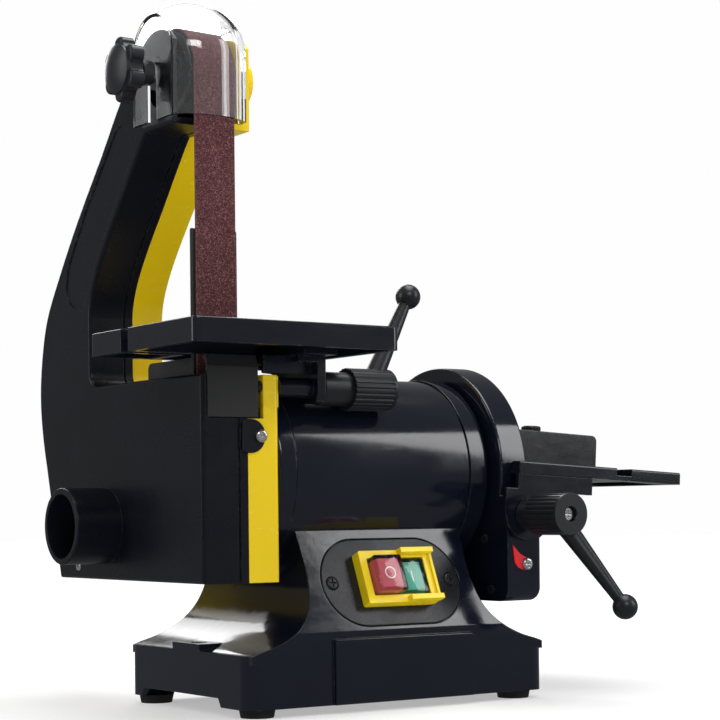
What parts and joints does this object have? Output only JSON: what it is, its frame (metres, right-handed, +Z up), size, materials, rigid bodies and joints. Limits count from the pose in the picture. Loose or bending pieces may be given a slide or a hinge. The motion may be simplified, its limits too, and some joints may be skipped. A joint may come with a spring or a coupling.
{
  "type": "belt disc sander",
  "caption": "Bench sander: narrow upright abrasive belt on a tall arm at one end of a motor, abrasive disc at the other, each with a tilting work table.",
  "frame": {"origin": "middle of the whole machine's plan at the bottom of the rubber feet", "axes": "+Z up, +X along the motor shaft from the belt to the disc, +Y from the operator's side to the back"},
  "size_m": [0.3723, 0.2929, 0.4039],
  "materials": {
    "black_gloss_paint": "gloss black enamel",
    "black_plastic": "satin moulded black plastic",
    "yellow_paint": "gloss yellow enamel",
    "yellow_plastic": "gloss yellow plastic",
    "red_plastic": "gloss red plastic",
    "green_plastic": "gloss green plastic",
    "red_paint": "red enamel",
    "rubber": "matte black rubber",
    "zinc_steel": "bright zinc plate",
    "steel": "bare turned steel",
    "black_steel": "black oxide and satin black",
    "core_steel": "stacked laminations",
    "copper": "enamelled copper wire",
    "clear_plastic": "clear moulded polycarbonate",
    "abrasive": "coated aluminium-oxide grit on cloth",
    "aluminium": "cast aluminium"
  },
  "bodies": {
    "stand": {"abrasive_belt": "abrasive", "arm_frame": "yellow_paint", "base_casting": "black_gloss_paint", "belt_guard_plate": "black_steel", "belt_table_bolt": "zinc_steel", "bottom_plate": "black_steel", "case_screws": "black_steel", "cover_screws": "zinc_steel", "disc_guard": "black_gloss_paint", "disc_table_pivot_screw": "zinc_steel", "disc_table_stud": "zinc_steel", "end_bell_left": "black_gloss_paint", "end_bell_right": "black_gloss_paint", "foot_screws": "zinc_steel", "idler_axle": "steel", "motor_bearings": "steel", "motor_shell": "black_gloss_paint", "platen": "black_steel", "platen_bolts": "zinc_steel", "platen_bracket": "black_steel", "rubber_feet": "rubber", "scale_pointer": "red_paint", "side_cover": "black_plastic", "stator_core": "core_steel", "stator_windings": "copper", "supply_inlet": "black_plastic", "switch_bezel": "yellow_plastic", "switch_body": "black_plastic", "switch_plate": "black_plastic", "switch_plate_screws": "black_steel", "tension_spring": "steel"},
    "rotor": {"rotor_shaft": "steel", "rotor_core": "core_steel", "drive_wheel": "aluminium", "disc_plate": "aluminium", "abrasive_disc": "abrasive"},
    "carrier": {"tension_bracket": "zinc_steel", "top_axle": "steel", "axle_barrel": "black_plastic"},
    "top_wheel": {"top_wheel": "black_plastic", "top_wheel_bearings": "steel"},
    "idler": {"idler_wheel": "black_plastic", "idler_bearings": "steel"},
    "knob": {"tracking_knob": "black_plastic"},
    "hood": {"clear_hood": "clear_plastic"},
    "belt_table": {"belt_table": "black_gloss_paint", "belt_table_trunnion": "black_gloss_paint", "trunnion_screws": "zinc_steel"},
    "belt_handle": {"belt_table_handle": "black_plastic", "belt_handle_screw": "zinc_steel"},
    "disc_table": {"disc_table": "black_gloss_paint", "disc_table_quadrants": "black_steel", "disc_table_screws": "zinc_steel"},
    "disc_handle": {"disc_table_handle": "black_plastic", "disc_handle_screw": "zinc_steel"},
    "mitre_slide": {"mitre_bar": "steel"},
    "mitre_head": {"mitre_head": "black_gloss_paint"},
    "mitre_knob": {"mitre_knob": "black_plastic"},
    "stop_button": {"stop_button": "red_plastic"},
    "start_button": {"start_button": "green_plastic"}
  },
  "joints": [
    {"name": "motor_spin", "type": "hinge", "parent": "stand", "child": "rotor", "pos_m": [-0.15043, -0.00315, 0.1355], "axis": [1, 0, 0], "continuous": true},
    {"name": "top_wheel_spin", "type": "hinge", "parent": "carrier", "child": "top_wheel", "pos_m": [-0.15043, -0.01415, 0.361], "axis": [1, 0, 0], "continuous": true},
    {"name": "idler_spin", "type": "hinge", "parent": "stand", "child": "idler", "pos_m": [-0.15043, 0.11425, 0.152], "axis": [1, 0, 0], "continuous": true},
    {"name": "belt_tension", "type": "slide", "parent": "stand", "child": "carrier", "axis": [0, 0, 1], "range_m": [-0.0025, 0], "stiffness_N_per_m": 600, "springref_m": 0.02, "deforming": ["tension_spring"]},
    {"name": "tracking_turn", "type": "hinge", "parent": "carrier", "child": "knob", "pos_m": [-0.15043, -0.01415, 0.361], "axis": [1, 0, 0], "range_deg": [-180, 180]},
    {"name": "hood_lift", "type": "slide", "parent": "stand", "child": "hood", "axis": [0, 0, 1], "range_m": [0, 0.06]},
    {"name": "belt_table_tilt", "type": "hinge", "parent": "stand", "child": "belt_table", "pos_m": [-0.15043, -0.05615, 0.1835], "axis": [1, 0, 0], "range_deg": [0, 40]},
    {"name": "belt_table_clamp", "type": "hinge", "parent": "stand", "child": "belt_handle", "pos_m": [-0.15043, -0.05615, 0.1835], "axis": [1, 0, 0], "range_deg": [0, 35]},
    {"name": "disc_table_tilt", "type": "hinge", "parent": "stand", "child": "disc_table", "pos_m": [0.06157, -0.06015, 0.1106], "axis": [0, 1, 0], "range_deg": [-3.13, 41.87]},
    {"name": "disc_table_clamp", "type": "hinge", "parent": "stand", "child": "disc_handle", "pos_m": [0.06157, -0.06015, 0.1106], "axis": [0, 1, 0], "range_deg": [-30, 60]},
    {"name": "mitre_slide", "type": "slide", "parent": "disc_table", "child": "mitre_slide", "axis": [0, 1, 0], "range_m": [-0.045, 0.04]},
    {"name": "mitre_swivel", "type": "hinge", "parent": "mitre_slide", "child": "mitre_head", "pos_m": [0.13869, 0.01285, 0.13823], "axis": [0.0546, 0, 0.9985], "range_deg": [-45, 45]},
    {"name": "mitre_knob_turn", "type": "hinge", "parent": "mitre_slide", "child": "mitre_knob", "pos_m": [0.13869, 0.01285, 0.13823], "axis": [0.0546, 0, 0.9985], "range_deg": [-180, 180]},
    {"name": "stop_press", "type": "slide", "parent": "stand", "child": "stop_button", "axis": [0, 0.922, -0.3872], "range_m": [0, 0.004], "stiffness_N_per_m": 400, "springref_m": -0.001},
    {"name": "start_press", "type": "slide", "parent": "stand", "child": "start_button", "axis": [0, 0.922, -0.3872], "range_m": [0, 0.0025], "stiffness_N_per_m": 400, "springref_m": -0.001}
  ],
  "couplings": [
    {"joint": "top_wheel_spin", "follows": "motor_spin", "ratio": 1.4247},
    {"joint": "idler_spin", "follows": "motor_spin", "ratio": 1.7655}
  ]
}
